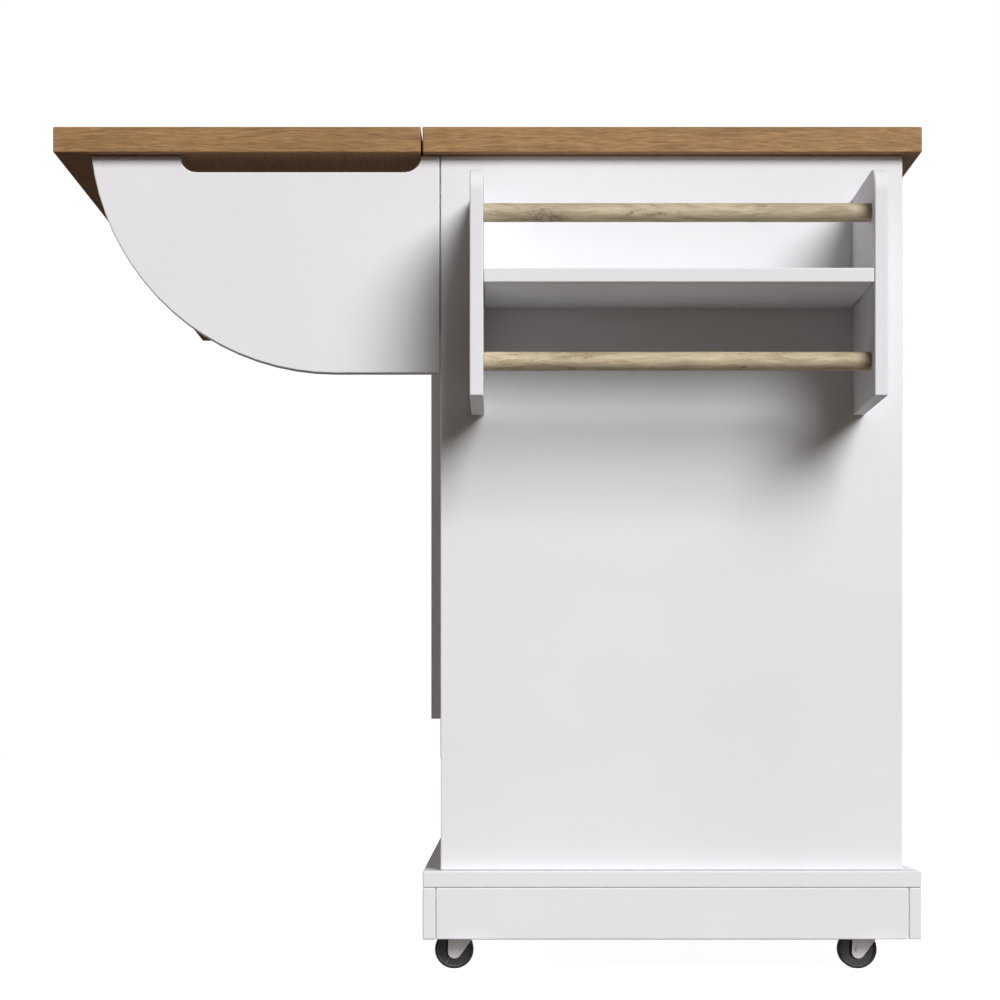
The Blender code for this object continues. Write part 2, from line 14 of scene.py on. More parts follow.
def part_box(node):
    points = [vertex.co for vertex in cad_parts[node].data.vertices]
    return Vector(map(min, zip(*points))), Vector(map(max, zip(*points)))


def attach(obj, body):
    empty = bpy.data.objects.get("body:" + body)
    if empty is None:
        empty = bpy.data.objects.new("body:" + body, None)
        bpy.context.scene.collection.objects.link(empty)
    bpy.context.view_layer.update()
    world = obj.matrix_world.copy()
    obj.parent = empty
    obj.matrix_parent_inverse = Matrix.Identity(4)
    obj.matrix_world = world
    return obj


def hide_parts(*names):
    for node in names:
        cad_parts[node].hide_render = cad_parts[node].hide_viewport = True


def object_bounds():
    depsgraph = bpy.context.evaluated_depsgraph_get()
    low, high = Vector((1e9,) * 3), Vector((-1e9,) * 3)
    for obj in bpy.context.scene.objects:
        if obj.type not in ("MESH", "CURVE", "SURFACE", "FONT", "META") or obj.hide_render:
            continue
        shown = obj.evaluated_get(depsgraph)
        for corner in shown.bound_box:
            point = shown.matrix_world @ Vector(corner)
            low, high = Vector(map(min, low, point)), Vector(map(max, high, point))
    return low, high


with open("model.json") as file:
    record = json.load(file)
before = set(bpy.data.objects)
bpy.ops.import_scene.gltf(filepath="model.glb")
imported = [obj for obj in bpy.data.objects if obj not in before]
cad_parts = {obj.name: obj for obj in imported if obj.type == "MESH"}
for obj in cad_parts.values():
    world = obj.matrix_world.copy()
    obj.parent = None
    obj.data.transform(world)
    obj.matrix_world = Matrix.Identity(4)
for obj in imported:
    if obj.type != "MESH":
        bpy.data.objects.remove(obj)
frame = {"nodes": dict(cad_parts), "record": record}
CAD_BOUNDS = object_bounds()
RECORD = frame["record"]
BODY_OF = {node: body for body, nodes in RECORD["behaviour"]["bodies"].items() for node in nodes}
SLOT_OF = {row["node"]: row["material_slot"] for row in RECORD["subparts"]}

# Camera: a level view straight at the rack end, with the picture shifted up to take in the cart
VIEW_DISTANCE = 2.70
VIEW_HEIGHT = 0.277
VIEW_FROM_TOP_BACK = 0.0863
LENS = 89.4
SHIFT_X = -0.002
SHIFT_Y = 0.218

# Light
TOWARDS_KEY = (0.475, -1.0, 0.650)
KEY_STRENGTH = 3.45
KEY_SPREAD = 30  # degrees
TOWARDS_BACK_LIGHT = (-1.0, 0.35, 0.14)
BACK_LIGHT_STRENGTH = 0.85
BACK_LIGHT_SPREAD = 25  # degrees
TOWARDS_FAR_LIGHT = (0.35, 1.0, 0.10)
FAR_LIGHT_STRENGTH = 1.0
FAR_LIGHT_SPREAD = 30  # degrees
FILL_COLOUR = (1.0, 0.85, 0.70)
FILL_STRENGTH = 0.105
FLOOR_COLOUR = (0.93, 0.93, 0.93)
FLOOR_GLOW = 0.91
FLOOR_REACH = 14.0
CASTER_SPOT_POWER = 25.0
CASTER_SPOT_DISTANCE = 1.3
CASTER_SPOT_ASIDE = 0.60  # how far to the right of the wheel
CASTER_SPOT_HEIGHT = 0.030
CASTER_SPOT_AIM = 0.010  # height that the spots point at
CASTER_SPOT_REACH = 0.025  # radius of the lit patch
CASTER_SPOT_BLEND = 0.3
CASTER_SPOT_SIZE = 0.02

# Softened edges
EDGE_ROUND = 0.00035
CASTER_EDGE_ROUND = 0.0003
HINGE_EDGE_ROUND = 0.0002
RIB_EDGE_ROUND = 0.00015
SMOOTH_BELOW = math.radians(25)
FLAT_WITHIN = math.radians(1)
WELD = 0.000001

# Rods
ROD_STEPS = 48
ROD_STATIONS = 96
ROD_END_ROUND = 0.0006
ROD_SUNK = 0.00026  # how far the turned surface lies inside the CAD radius
ROD_UNEVEN = 0.00003

# Wheels
WHEEL_STEPS = 72
WHEEL_BORE = 0.0034
WHEEL_HUB = 0.0065
WHEEL_CHAMFER = 0.0004
WHEEL_SMALL_CHAMFER = 0.0003
RECESS_DEPTH = 0.0020
HUB_WALL_LEAN = 0.0002
HUB_FOOT = 0.0008
RIM = 0.0026  # from the top of the lip's inner wall out to the tread
LIP_WALL_LEAN = 0.0010
LIP_FOOT = 0.0013
LIP_CREST = 0.0004
LIP_WIDTH = 0.0008
LIP_DROP = 0.0002  # from the lip down to the tread's shoulder
TREAD_ROUND = 0.0012
TREAD_STEPS = 5
PAINTED_HIGHLIGHT_FROM = 0.0009  # the band of the lip's wall with a painted highlight, measured inwards from its top
PAINTED_HIGHLIGHT_TO = 0.0001
RIB_ANGLES = (0, 120, 240)
RIB_LOW = -0.0009
RIB_HIGH = 0.0008
RIB_HALF_WIDTH = 0.00035
RIB_INTO_HUB = 0.0005
RIB_SHORT_OF_LIP = 0.0002

# Screws
CASTER_SCREW_RADIUS = 0.0029
CASTER_SCREW_HEIGHT = 0.0013
CASTER_SCREW_INSET = 0.006
HINGE_SCREW_RADIUS = 0.0030
HINGE_SCREW_HEIGHT = 0.0010
HINGE_SCREW_OUTWARDS = 0.12  # share of the plate's width
HINGE_PLATE = 0.0015
LONG_HINGE = 0.2  # from this length on a leaf gets more screws
SCREWS_SHORT = 3
SCREWS_LONG = 6


# ---------------------------------------------------------------- node helpers


class Shade:
    """A material's node tree with short calls for the nodes that the finishes share."""

    def __init__(self, name, roughness, metallic=0.0, specular=0.5):
        self.made = bpy.data.materials.new(name)
        self.made.use_nodes = True
        self.tree = self.made.node_tree
        self.shader = self.tree.nodes["Principled BSDF"]
        self.shader.inputs["Roughness"].default_value = roughness
        self.shader.inputs["Metallic"].default_value = metallic
        self.shader.inputs["Specular IOR Level"].default_value = specular
        self.place = self.add("ShaderNodeTexCoord").outputs["Object"]

    def add(self, kind, **values):
        node = self.tree.nodes.new(kind)
        for name, value in values.items():
            setattr(node, name, value)
        return node

    def wire(self, source, target):
        self.tree.links.new(source, target)

    def stretched(self, scale, source=None, rotation=(0, 0, 0)):
        """The object's own coordinates, scaled by a different amount along each axis."""
        mapping = self.add("ShaderNodeMapping")
        mapping.inputs["Scale"].default_value = scale
        mapping.inputs["Rotation"].default_value = rotation
        self.wire(source or self.place, mapping.inputs["Vector"])
        return mapping.outputs["Vector"]

    def noise(self, place, scale, detail=3.0, roughness=0.5, distortion=0.0):
        node = self.add("ShaderNodeTexNoise")
        node.inputs["Scale"].default_value = scale
        node.inputs["Detail"].default_value = detail
        node.inputs["Roughness"].default_value = roughness
        node.inputs["Distortion"].default_value = distortion
        self.wire(place, node.inputs["Vector"])
        return node.outputs["Fac"]

    def ramp(self, value, stops):
        """Colours by value: stops are (position, (r, g, b)) pairs."""
        node = self.add("ShaderNodeValToRGB")
        elements = node.color_ramp.elements
        while len(elements) < len(stops):
            elements.new(0.5)
        for element, (position, colour) in zip(elements, stops):
            element.position = position
            element.color = (*colour, 1.0)
        self.wire(value, node.inputs["Fac"])
        return node.outputs["Color"]

    def span(self, value, low, high, to_low, to_high):
        """value from low..high mapped to to_low..to_high, held at the ends."""
        node = self.add("ShaderNodeMapRange")
        node.inputs["From Min"].default_value = low
        node.inputs["From Max"].default_value = high
        node.inputs["To Min"].default_value = to_low
        node.inputs["To Max"].default_value = to_high
        self.wire(value, node.inputs["Value"])
        return node.outputs["Result"]

    def math(self, operation, first, second):
        node = self.add("ShaderNodeMath", operation=operation)
        for socket, value in zip(node.inputs, (first, second)):
            if isinstance(value, (int, float)):
                socket.default_value = value
            else:
                self.wire(value, socket)
        return node.outputs["Value"]

    def mix(self, blend, amount, first, second):
        node = self.add("ShaderNodeMix", data_type="RGBA", blend_type=blend)
        factor, a, b = node.inputs[0], node.inputs[6], node.inputs[7]
        for socket, value in ((factor, amount), (a, first), (b, second)):
            if isinstance(value, (int, float)):
                socket.default_value = value
            elif isinstance(value, tuple):
                socket.default_value = (*value, 1.0)
            else:
                self.wire(value, socket)
        return node.outputs[2]

    def bump(self, height, distance, strength=1.0):
        node = self.add("ShaderNodeBump")
        node.inputs["Strength"].default_value = strength
        node.inputs["Distance"].default_value = distance
        self.wire(height, node.inputs["Height"])
        self.wire(node.outputs["Normal"], self.shader.inputs["Normal"])

    def finish(self, colour, roughness=None):
        if isinstance(colour, tuple):
            self.shader.inputs["Base Color"].default_value = (*colour, 1.0)
        else:
            self.wire(colour, self.shader.inputs["Base Color"])
        if roughness is not None:
            self.wire(roughness, self.shader.inputs["Roughness"])
        return self.made


# ---------------------------------------------------------------- materials


def wavy(shade, place, scale, amount):
    """Coordinates pushed about by a slow noise, so that grain lines wander."""
    node = shade.add("ShaderNodeTexNoise")
    node.inputs["Scale"].default_value = scale
    node.inputs["Detail"].default_value = 2.0
    shade.wire(place, node.inputs["Vector"])
    shift = shade.add("ShaderNodeVectorMath", operation="SCALE")
    shift.inputs["Scale"].default_value = amount
    shade.wire(node.outputs["Color"], shift.inputs[0])
    moved = shade.add("ShaderNodeVectorMath", operation="ADD")
    shade.wire(place, moved.inputs[0])
    shade.wire(shift.outputs["Vector"], moved.inputs[1])
    return moved.outputs["Vector"]


def oak(name, along):
    """Oak-look laminate: fine wandering streaks, short pores and broad bands along one axis."""
    shade = Shade(name, 0.55, specular=0.3)
    place = wavy(shade, shade.place, 9.0, 0.010)

    def grain(stretch):
        return shade.stretched(tuple(stretch if axis == along else 1.0 for axis in "XYZ"), place)

    streaks = shade.noise(grain(0.050), 780.0, detail=5.0, roughness=0.68, distortion=0.6)
    bands = shade.noise(grain(0.10), 85.0, detail=2.0, distortion=1.2)
    pores = shade.noise(grain(0.030), 1500.0, detail=2.0)
    colour = shade.ramp(
        streaks,
        [
            (0.30, (0.175, 0.086, 0.028)),
            (0.45, (0.295, 0.160, 0.058)),
            (0.56, (0.360, 0.205, 0.078)),
            (0.72, (0.470, 0.288, 0.125)),
        ],
    )
    broad = shade.ramp(bands, [(0.32, (0.86,) * 3), (0.68, (1.10,) * 3)])
    colour = shade.mix("MULTIPLY", 1.0, colour, broad)
    dark = shade.span(pores, 0.60, 0.72, 0.0, 0.42)
    colour = shade.mix("MIX", dark, colour, (0.145, 0.072, 0.026))
    shade.bump(shade.math("SUBTRACT", streaks, dark), 0.00018, 0.6)
    return shade.finish(colour, shade.span(streaks, 0.3, 0.7, 0.60, 0.48))


def plain_oak_and_painted_shade():
    """The same laminate underneath, plainer: a faint grain without pores. It is darker than the top as
    painted shade, and the seam walls get it too.
    """
    shade = Shade("plain_oak_and_painted_shade", 0.6, specular=0.2)
    streaks = shade.noise(shade.stretched((1.0, 0.05, 1.0)), 240.0)
    # darker than the top laminate: painted shade
    colour = shade.ramp(streaks, [(0.30, (0.245, 0.132, 0.066)), (0.70, (0.300, 0.168, 0.088))])
    shade.bump(streaks, 0.00005, 0.4)
    return shade.finish(colour, shade.span(streaks, 0.3, 0.7, 0.66, 0.56))


def paint(name, colour, roughness):
    """Sprayed satin paint: slight orange peel and uneven gloss."""
    shade = Shade(name, roughness, specular=0.12)
    peel = shade.noise(shade.place, 420.0, detail=2.0)
    cloud = shade.noise(shade.place, 5.0)
    darker = tuple(c * 0.975 for c in colour)
    lighter = tuple(min(c * 1.015, 1.0) for c in colour)
    tone = shade.ramp(cloud, [(0.30, darker), (0.70, lighter)])
    shade.bump(peel, 0.00006, 0.35)
    return shade.finish(tone, shade.span(cloud, 0.3, 0.7, roughness - 0.05, roughness + 0.05))


def melamine():
    """White board inside the cabinet, with a fine printed speckle."""
    shade = Shade("melamine", 0.5)
    speck = shade.noise(shade.place, 900.0, detail=2.0, roughness=0.6)
    tone = shade.ramp(speck, [(0.30, (0.72, 0.72, 0.71)), (0.62, (0.79, 0.79, 0.78))])
    shade.bump(speck, 0.00004, 0.3)
    return shade.finish(tone, shade.span(speck, 0.3, 0.7, 0.56, 0.46))


def rustic_wood():
    """Pale knotty wood of the rods, its grain, checks and knots drawn out along X."""
    shade = Shade("rustic_wood", 0.6)
    place = wavy(shade, shade.place, 22.0, 0.012)

    def along(stretch):
        return shade.stretched((stretch, 1.0, 1.0), place)

    streaks = shade.noise(along(0.09), 260.0, detail=5.0, roughness=0.65, distortion=0.8)
    cloud = shade.noise(along(0.22), 46.0, roughness=0.55, distortion=0.7)
    colour = shade.ramp(
        streaks,
        [
            (0.28, (0.390, 0.300, 0.185)),
            (0.43, (0.465, 0.383, 0.252)),
            (0.56, (0.575, 0.488, 0.330)),
            (0.74, (0.620, 0.552, 0.408)),
        ],
    )
    clouded = shade.ramp(cloud, [(0.34, (0.80,) * 3), (0.62, (1.06,) * 3)])
    colour = shade.mix("MULTIPLY", 1.0, colour, clouded)
    cells = shade.add("ShaderNodeTexVoronoi", feature="F1")
    cells.inputs["Scale"].default_value = 26.0
    cells.inputs["Randomness"].default_value = 1.0
    shade.wire(along(0.34), cells.inputs["Vector"])
    rings = shade.noise(along(0.30), 420.0, roughness=0.6, distortion=2.0)
    knot = shade.span(cells.outputs["Distance"], 0.10, 0.30, 1.0, 0.0)
    lines = shade.span(rings, 0.46, 0.60, 0.0, 1.0)
    dark = shade.math("MULTIPLY", knot, lines)
    colour = shade.mix("MIX", dark, colour, (0.150, 0.085, 0.042))
    flow = shade.noise(along(0.16), 120.0, distortion=2.2)
    off_line = shade.math("ABSOLUTE", shade.math("SUBTRACT", flow, 0.5), 0.0)
    where = shade.noise(shade.stretched((0.5, 1.0, 1.0)), 24.0, detail=2.0)
    near_line = shade.span(off_line, 0.003, 0.016, 0.75, 0.0)
    cracked = shade.span(where, 0.46, 0.56, 0.0, 1.0)
    crack = shade.math("MULTIPLY", near_line, cracked)
    colour = shade.mix("MIX", crack, colour, (0.150, 0.092, 0.050))
    height = shade.math("SUBTRACT", streaks, shade.math("ADD", crack, dark))
    shade.bump(height, 0.00025, 0.6)
    return shade.finish(colour, shade.span(streaks, 0.3, 0.7, 0.68, 0.52))


def metal(name, colour, roughness, stretch, metallic):
    """Brushed or plated metal with fine directional scratches and slight blotches."""
    shade = Shade(name, roughness, metallic)
    scratches = shade.noise(shade.stretched(stretch), 1800.0, roughness=0.6)
    blotches = shade.noise(shade.place, 60.0)
    darker = tuple(c * 0.88 for c in colour)
    lighter = tuple(min(c * 1.06, 1.0) for c in colour)
    tone = shade.ramp(blotches, [(0.30, darker), (0.70, lighter)])
    shade.bump(scratches, 0.00003, 0.15)
    return shade.finish(tone, shade.span(scratches, 0.3, 0.7, roughness - 0.08, roughness + 0.10))


def black_plastic(name, dark, light):
    """Moulded plastic of the wheels, with uneven dust."""
    shade = Shade(name, 0.42)
    grain = shade.noise(shade.place, 1300.0, detail=2.0)
    dust = shade.noise(shade.place, 150.0, detail=4.0, roughness=0.6)
    tone = shade.ramp(dust, [(0.35, dark), (0.72, light)])
    shade.bump(grain, 0.00006, 0.4)
    return shade.finish(tone, shade.span(dust, 0.3, 0.7, 0.36, 0.56))


MATERIALS = {
    "oak_long": oak("oak_long", "Y"),
    "oak_band": oak("oak_band", "X"),
    # plainer laminate below, darker than the top as painted shade; it also darkens the seam walls as
    # painted shade
    "plain_oak_and_painted_shade": plain_oak_and_painted_shade(),
    "white_paint": paint("white_paint", (0.795, 0.795, 0.828), 0.62),
    "cabinet_inside": melamine(),
    "rustic_rod": rustic_wood(),
    "hinge_steel": metal("hinge_steel", (0.60, 0.60, 0.62), 0.38, (1.0, 0.08, 1.0), 0.7),
    "handle_nickel": metal("handle_nickel", (0.64, 0.63, 0.61), 0.36, (1.0, 0.06, 0.06), 0.5),
    "fork_steel": metal("fork_steel", (0.70, 0.68, 0.69), 0.45, (1.0, 1.0, 0.2), 0.25),
    "wheel_plastic": black_plastic("wheel_plastic", (0.020, 0.020, 0.020), (0.042, 0.040, 0.038)),
    # light grey copy of the wheel plastic: a painted highlight on the lip's wall and on the ribs
    "highlight_painted_plastic": black_plastic("highlight_painted_plastic", (0.120, 0.118, 0.115), (0.200, 0.196, 0.190)),
}


# ---------------------------------------------------------------- meshes


def add_piece(node, shape, finishes=None):
    """Makes an object of a bmesh, which rides on the CAD node's body and replaces that node."""
    name = f"{node}_finish"
    slot = SLOT_OF[node]
    body = BODY_OF[node]
    mesh = bpy.data.meshes.new(name)
    shape.to_mesh(mesh)
    shape.free()
    for key in finishes or [slot]:
        mesh.materials.append(MATERIALS[key])
    mesh.shade_smooth()
    mesh.set_sharp_from_angle(angle=SMOOTH_BELOW)
    piece = bpy.data.objects.new(name, mesh)
    bpy.context.scene.collection.objects.link(piece)
    # broad faces stay evenly lit up to their rounded edges
    normals = piece.modifiers.new("face_area_normals", "WEIGHTED_NORMAL")
    normals.weight = 100
    normals.keep_sharp = True
    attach(piece, body)
    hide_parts(node)


def soften(shape, width=EDGE_ROUND, segments=2):
    """Rounds every edge that turns by more than a smooth curve's step."""
    sharp = [edge for edge in shape.edges if edge.is_manifold and edge.calc_face_angle() > SMOOTH_BELOW]
    bmesh.ops.bevel(
        shape,
        geom=sharp,
        offset=width,
        segments=segments,
        profile=0.5,
        affect="EDGES",
        clamp_overlap=True,
    )


def copied(node):
    """The CAD node's shape with its flat faces whole again."""
    shape = bmesh.new()
    shape.from_mesh(frame["nodes"][node].data)
    bmesh.ops.remove_doubles(shape, verts=shape.verts, dist=WELD)
    bmesh.ops.dissolve_limit(shape, angle_limit=FLAT_WITHIN, verts=shape.verts, edges=shape.edges)
    return shape


def wood_board(node, seam_side):
    """Worktop or leaf: grain along its length, a band across each end, and below and on the seam walls a
    plainer finish, darkened as painted shade.

    seam_side is 1 if the seam between them is on the board's +X side, and -1 if it is on the -X side.
    """
    shape = copied(node)
    soften(shape)
    for face in shape.faces:
        if abs(face.normal.y) > 0.5:
            face.material_index = 1
        # undersides and the seam walls get the darker finish: painted shade
        elif face.normal.z < -0.5 or face.normal.x * seam_side > 0.5:
            face.material_index = 2
    add_piece(node, shape, ["oak_long", "oak_band", "plain_oak_and_painted_shade"])


def turned(profile, steps, closed):
    """A profile of (radius, along) points turned about the local Y axis."""
    shape = bmesh.new()
    rings = []
    for i in range(steps):
        angle = 2 * math.pi * i / steps
        c = math.cos(angle)
        s = math.sin(angle)
        rings.append([shape.verts.new((r * c, along, r * s)) for r, along in profile])
    count = len(profile)
    for i in range(steps):
        ring, following = rings[i], rings[(i + 1) % steps]
        for j in range(count if closed else count - 1):
            k = (j + 1) % count
            shape.faces.new((ring[j], ring[k], following[k], following[j]))
    if not closed:
        shape.faces.new([ring[0] for ring in rings])
        shape.faces.new([ring[-1] for ring in rings])
    bmesh.ops.recalc_face_normals(shape, faces=shape.faces)
    return shape


def arc(centre, radius, start, end, steps):
    """Points along an arc, with its start and end in degrees."""
    points = []
    for i in range(steps + 1):
        angle = math.radians(start + (end - start) * i / steps)
        points.append((centre[0] + radius * math.cos(angle), centre[1] + radius * math.sin(angle)))
    return points


def merge(target, other, matrix):
    """Adds a bmesh to another one, moved by a matrix."""
    bmesh.ops.transform(other, matrix=matrix, verts=other.verts)
    mesh = bpy.data.meshes.new("part")
    other.to_mesh(mesh)
    other.free()
    target.from_mesh(mesh)
    bpy.data.meshes.remove(mesh)


def box_shape(low, high):
    low = Vector(low)
    high = Vector(high)
    shape = bmesh.new()
    bmesh.ops.create_cube(shape, size=1.0)
    bmesh.ops.scale(shape, vec=high - low, verts=shape.verts)
    bmesh.ops.translate(shape, vec=(low + high) / 2, verts=shape.verts)
    return shape


def screw_head(radius, height):
    """A domed head about local Y with a cross recess, its seat at the origin."""
    steps = 40
    arm = radius * 0.55
    half_width = radius * 0.14
    depth = height * 0.6
    dome = ((1.0, 0.0), (1.0, 0.25), (0.93, 0.62), (0.80, 0.88), (0.66, 1.0))  # shares of radius and height
    rings = []
    shape = bmesh.new()

    def ring(reach, along):
        made = []
        for i in range(steps):
            angle = 2 * math.pi * (i + 0.5) / steps
            distance = reach(angle)
            place = (distance * math.cos(angle), along, distance * math.sin(angle))
            made.append(shape.verts.new(place))
        rings.append(made)

    def cross(angle):
        c = abs(math.cos(angle))
        s = abs(math.sin(angle))
        return max(min(arm / c, half_width / s), min(half_width / c, arm / s))

    for reach, along in dome:
        ring(lambda angle, reach=reach: radius * reach, height * along)
    ring(cross, height)
    ring(cross, height - depth)
    for lower, upper in zip(rings, rings[1:]):
        for i in range(steps):
            j = (i + 1) % steps
            shape.faces.new((lower[i], lower[j], upper[j], upper[i]))
    shape.faces.new(rings[0])
    shape.faces.new(rings[-1])
    bmesh.ops.recalc_face_normals(shape, faces=shape.faces)
    return shape


def facing(at, direction):
    """Puts a shape made about local Y at a place, with +Y turned to a direction."""
    turn = Vector((0, 1, 0)).rotation_difference(Vector(direction)).to_matrix().to_4x4()
    return Matrix.Translation(at) @ turn


# ---------------------------------------------------------------- pieces


def make_wood():
    wood_board("worktop", -1)
    wood_board("drop_leaf", 1)


def make_rods():
    """Rods with rounded end edges and a slightly uneven, hand-turned surface."""
    for node in ("rack_rod_upper", "rack_rod_lower"):
        low, high = (Vector(corner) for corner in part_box(node))
        radius = (high.z - low.z) / 2
        middle = (low + high) / 2
        half = (high.x - low.x) / 2
        profile = [(radius - ROD_END_ROUND, -half)]
        for i in range(ROD_STATIONS + 1):
            along = -half + ROD_END_ROUND + (2 * half - 2 * ROD_END_ROUND) * i / ROD_STATIONS
            waves = math.sin(along * 61 + middle.z * 9) + math.sin(along * 143 + 1.7)
            profile.append((radius - ROD_SUNK + ROD_UNEVEN * waves, along))
        profile.append((radius - ROD_END_ROUND, half))
        shape = turned(profile, ROD_STEPS, closed=False)
        turn = Matrix.Rotation(math.radians(-90), 4, "Z")
        bmesh.ops.transform(shape, matrix=Matrix.Translation(middle) @ turn, verts=shape.verts)
        add_piece(node, shape)


def wheel_side(lip, radius, half):
    """Half of a wheel's outline as (radius, along) points, from its bore out to its tread."""
    recess = half - RECESS_DEPTH
    shoulder = half - LIP_DROP
    side = [
        (WHEEL_BORE, half - WHEEL_SMALL_CHAMFER),
        (WHEEL_BORE + WHEEL_CHAMFER, half),
        (WHEEL_HUB - WHEEL_CHAMFER, half),
        (WHEEL_HUB, half - WHEEL_CHAMFER),
        (WHEEL_HUB + HUB_WALL_LEAN, recess + WHEEL_SMALL_CHAMFER),
        (WHEEL_HUB + HUB_FOOT, recess),
        (lip - LIP_FOOT, recess),
        (lip - LIP_WALL_LEAN, recess + WHEEL_SMALL_CHAMFER),
        (lip, half - WHEEL_SMALL_CHAMFER),
        (lip + LIP_CREST, half),
        (lip + LIP_WIDTH, shoulder),
    ]
    return side + arc((radius - TREAD_ROUND, shoulder - TREAD_ROUND), TREAD_ROUND, 90, 0, TREAD_STEPS)


def rib_with_painted_highlight(lip):
    """A rib from the hub to the lip, along +X, about half of it sunk below the recess's floor. All its
    faces carry a painted highlight.
    """
    rib = box_shape(
        (WHEEL_HUB - RIB_INTO_HUB, RIB_LOW, -RIB_HALF_WIDTH),
        (lip - RIB_SHORT_OF_LIP, RIB_HIGH, RIB_HALF_WIDTH),
    )
    soften(rib, RIB_EDGE_ROUND, 1)
    # every face of the rib gets the light grey plastic: a painted highlight
    for face in rib.faces:
        face.material_index = 1
    return rib


def make_wheels():
    """Wheels with a tread, a lip, a recessed side with three ribs, and a hub; the lip's wall and the ribs
    carry a painted highlight in light grey plastic.
    """
    for node in sorted(SLOT_OF):
        if SLOT_OF[node] != "wheel_plastic":
            continue
        low, high = (Vector(corner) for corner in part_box(node))
        centre = (low + high) / 2
        radius = (high.x - low.x) / 2
        half = (high.y - low.y) / 2
        lip = radius - RIM
        side = wheel_side(lip, radius, half)
        profile = side + [(r, -along) for r, along in reversed(side)]
        shape = turned(profile, WHEEL_STEPS, closed=True)
        # a band of the lip's wall gets the light grey plastic: a painted highlight
        for face in shape.faces:
            middle = face.calc_center_median()
            if lip - PAINTED_HIGHLIGHT_FROM < math.hypot(middle.x, middle.z) < lip - PAINTED_HIGHLIGHT_TO:
                face.material_index = 1
        for face_side in (-1, 1):
            for angle in RIB_ANGLES:
                turn = Matrix.Rotation(math.radians(-angle), 4, "Y")
                out_to_side = Matrix.Translation((0, face_side * (half - RECESS_DEPTH), 0))
                merge(shape, rib_with_painted_highlight(lip), turn @ out_to_side)
        bmesh.ops.translate(shape, vec=centre, verts=shape.verts)
        add_piece(node, shape, ["wheel_plastic", "highlight_painted_plastic"])


def add_plate_screws(shape, node):
    """A screw head in each corner of a caster's plate, on its underside."""
    low, high = (Vector(corner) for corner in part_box(node))
    for x in (low.x + CASTER_SCREW_INSET, high.x - CASTER_SCREW_INSET):
        for y in (low.y + CASTER_SCREW_INSET, high.y - CASTER_SCREW_INSET):
            screw = screw_head(CASTER_SCREW_RADIUS, CASTER_SCREW_HEIGHT)
            merge(shape, screw, facing((x, y, low.z), (0, 0, -1)))


def make_caster_metal():
    """Forks with their axles, and their plates with four screws each."""
    for node in sorted(SLOT_OF):
        if SLOT_OF[node] != "fork_steel":
            continue
        shape = copied(node)
        soften(shape, CASTER_EDGE_ROUND)
        if node.endswith("_plate"):
            add_plate_screws(shape, node)
        add_piece(node, shape)


def make_hinges():
    """Butt hinges with cross-head screws on every plate."""
    for node in sorted(SLOT_OF):
        if SLOT_OF[node] != "hinge_steel":
            continue
        shape = copied(node)
        soften(shape, HINGE_EDGE_ROUND)
        add_hinge_screws(shape, node)
        add_piece(node, shape)


def add_hinge_screws(shape, node):
    """Screw heads along the plate's outer half, on the face away from the board that carries it."""
    plate = max(shape.faces, key=lambda face: face.calc_area())
    normal = plate.normal.copy()
    low, high = (Vector(corner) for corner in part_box(node))
    box_middle = (low + high) / 2
    corners = [vertex.co for vertex in plate.verts]
    middle = sum(corners, Vector()) / len(corners)
    lengths = [max(c[i] for c in corners) - min(c[i] for c in corners) for i in range(3)]
    through = [abs(round(n)) for n in normal].index(1)
    along = lengths.index(max(lengths))
    across = 3 - along - through
    seat = middle.copy()
    # a broad face that looks away from the knuckles lies against the board: the screws sit opposite
    if (middle - box_middle)[through] * normal[through] > 0:
        normal = -normal
        seat[through] += normal[through] * HINGE_PLATE
    away = 1 if middle[across] > box_middle[across] else -1
    seat[across] += away * lengths[across] * HINGE_SCREW_OUTWARDS
    count = SCREWS_SHORT if lengths[along] < LONG_HINGE else SCREWS_LONG
    for i in range(count):
        at = seat.copy()
        at[along] += lengths[along] * ((i + 0.5) / count - 0.5)
        merge(shape, screw_head(HINGE_SCREW_RADIUS, HINGE_SCREW_HEIGHT), facing(at, normal))


def make_boards():
    """Every other node keeps its shape, with rounder edges and its own finish."""
    done = {"oak_laminate", "rustic_rod", "wheel_plastic", "fork_steel", "hinge_steel"}
    for node in sorted(SLOT_OF):
        if SLOT_OF[node] not in done:
            shape = copied(node)
            soften(shape)
            add_piece(node, shape)


# ---------------------------------------------------------------- stage


def make_floor():
    """A plain pale floor that glows, and throws no light back on the cart."""
    mesh = bpy.data.meshes.new("floor")
    low = CAD_BOUNDS[0][2]
    corners = [
        (-FLOOR_REACH, -FLOOR_REACH, low),
        (FLOOR_REACH, -FLOOR_REACH, low),
        (FLOOR_REACH, FLOOR_REACH, low),
        (-FLOOR_REACH, FLOOR_REACH, low),
    ]
    mesh.from_pydata(corners, [], [(0, 1, 2, 3)])
    floor = bpy.data.objects.new("floor", mesh)
    bpy.context.scene.collection.objects.link(floor)
    made = bpy.data.materials.new("floor")
    made.use_nodes = True
    shader = made.node_tree.nodes["Principled BSDF"]
    shader.inputs["Base Color"].default_value = (*FLOOR_COLOUR, 1)
    shader.inputs["Roughness"].default_value = 0.9
    shader.inputs["Specular IOR Level"].default_value = 0.1
    shader.inputs["Emission Color"].default_value = (1, 1, 1, 1)
    shader.inputs["Emission Strength"].default_value = FLOOR_GLOW
    mesh.materials.append(made)
    floor.visible_diffuse = False
    floor.visible_glossy = False


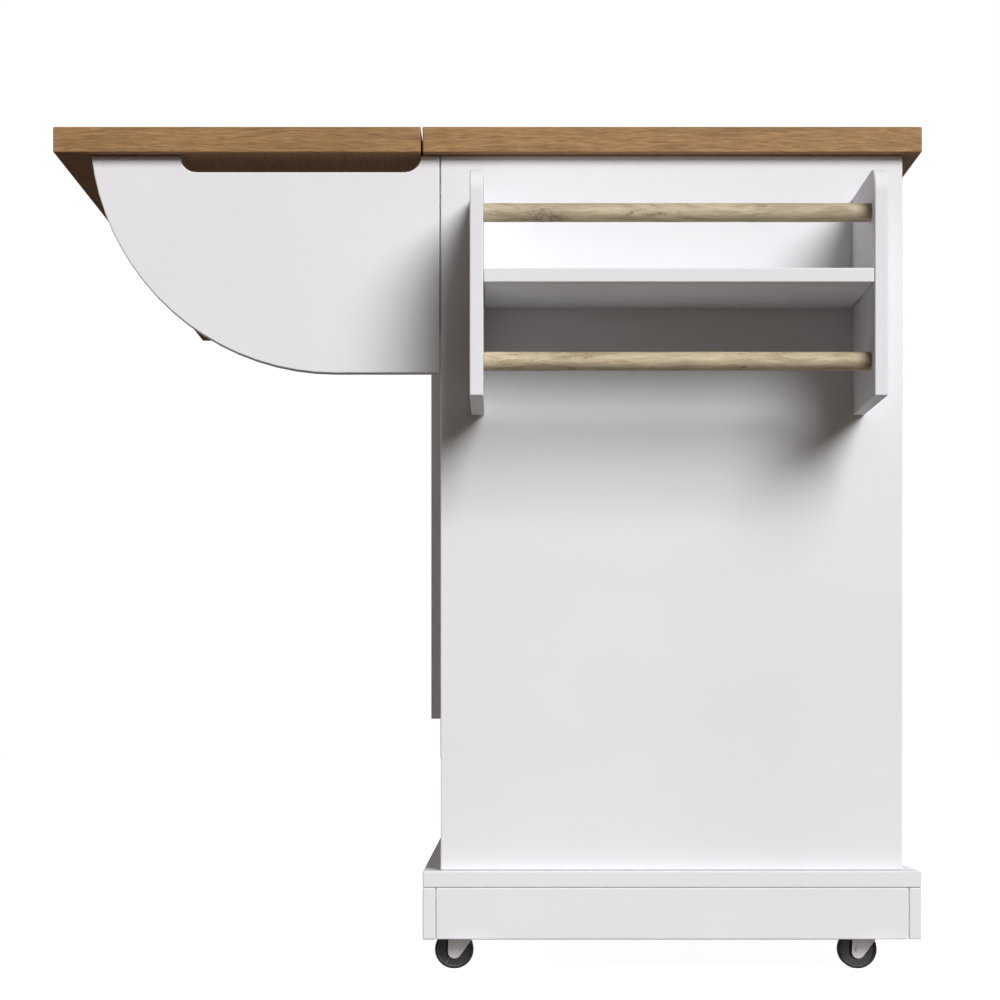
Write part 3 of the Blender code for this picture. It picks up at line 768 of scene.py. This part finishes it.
def make_world():
    """A warm fill that lights the cart, with plain white where the camera sees past the floor."""
    world = bpy.data.worlds.new("studio")
    bpy.context.scene.world = world
    world.use_nodes = True
    tree = world.node_tree
    background = tree.nodes["Background"]
    background.inputs["Color"].default_value = (*FILL_COLOUR, 1)
    background.inputs["Strength"].default_value = FILL_STRENGTH
    white = tree.nodes.new("ShaderNodeBackground")
    white.inputs["Color"].default_value = (1.0, 1.0, 1.0, 1)
    white.inputs["Strength"].default_value = 1.0
    path = tree.nodes.new("ShaderNodeLightPath")
    mix = tree.nodes.new("ShaderNodeMixShader")
    tree.links.new(path.outputs["Is Camera Ray"], mix.inputs["Fac"])
    tree.links.new(background.outputs["Background"], mix.inputs[1])
    tree.links.new(white.outputs["Background"], mix.inputs[2])
    tree.links.new(mix.outputs["Shader"], tree.nodes["World Output"].inputs["Surface"])


def add_sun(name, towards, strength, spread):
    """A sun that stands in a direction, seen from the cart, with a spread in degrees."""
    data = bpy.data.lights.new(name, "SUN")
    data.energy = strength
    data.angle = math.radians(spread)
    light = bpy.data.objects.new(name, data)
    light.rotation_euler = Vector(towards).to_track_quat("Z", "Y").to_euler()
    bpy.context.scene.collection.objects.link(light)


def add_caster_spot(wheel):
    """A low spot in front of a near caster, narrow enough to pass under the skirt."""
    low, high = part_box(wheel)
    x = (low[0] + high[0]) / 2
    target = Vector((x, low[1], CASTER_SPOT_AIM))
    data = bpy.data.lights.new(f"{wheel}_spot", "SPOT")
    data.energy = CASTER_SPOT_POWER
    data.spot_size = 2 * math.atan(CASTER_SPOT_REACH / CASTER_SPOT_DISTANCE)
    data.spot_blend = CASTER_SPOT_BLEND
    data.shadow_soft_size = CASTER_SPOT_SIZE
    light = bpy.data.objects.new(f"{wheel}_spot", data)
    light.location = (x + CASTER_SPOT_ASIDE, low[1] - CASTER_SPOT_DISTANCE, CASTER_SPOT_HEIGHT)
    light.rotation_euler = (light.location - target).to_track_quat("Z", "Y").to_euler()
    bpy.context.scene.collection.objects.link(light)


def make_lights():
    """A warm fill, a spot for each near caster, a broad key and weaker suns for the other sides."""
    make_world()
    for wheel in ("caster_near_back_wheel", "caster_near_front_wheel"):
        add_caster_spot(wheel)
    add_sun("key", TOWARDS_KEY, KEY_STRENGTH, KEY_SPREAD)
    add_sun("back_light", TOWARDS_BACK_LIGHT, BACK_LIGHT_STRENGTH, BACK_LIGHT_SPREAD)
    add_sun("far_light", TOWARDS_FAR_LIGHT, FAR_LIGHT_STRENGTH, FAR_LIGHT_SPREAD)


def make_camera():
    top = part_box("worktop")
    data = bpy.data.cameras.new("camera")
    data.lens = LENS
    data.shift_x = SHIFT_X
    data.shift_y = SHIFT_Y
    camera = bpy.data.objects.new("camera", data)
    camera.location = (top[0][0] + VIEW_FROM_TOP_BACK, top[0][1] - VIEW_DISTANCE, VIEW_HEIGHT)
    camera.rotation_euler = (math.radians(90), 0, 0)
    bpy.context.scene.collection.objects.link(camera)
    bpy.context.scene.camera = camera
    bpy.context.scene.view_settings.view_transform = "Standard"


make_camera()
make_wood()
make_rods()
make_wheels()
make_caster_metal()
make_hinges()
make_boards()
make_floor()
make_lights()
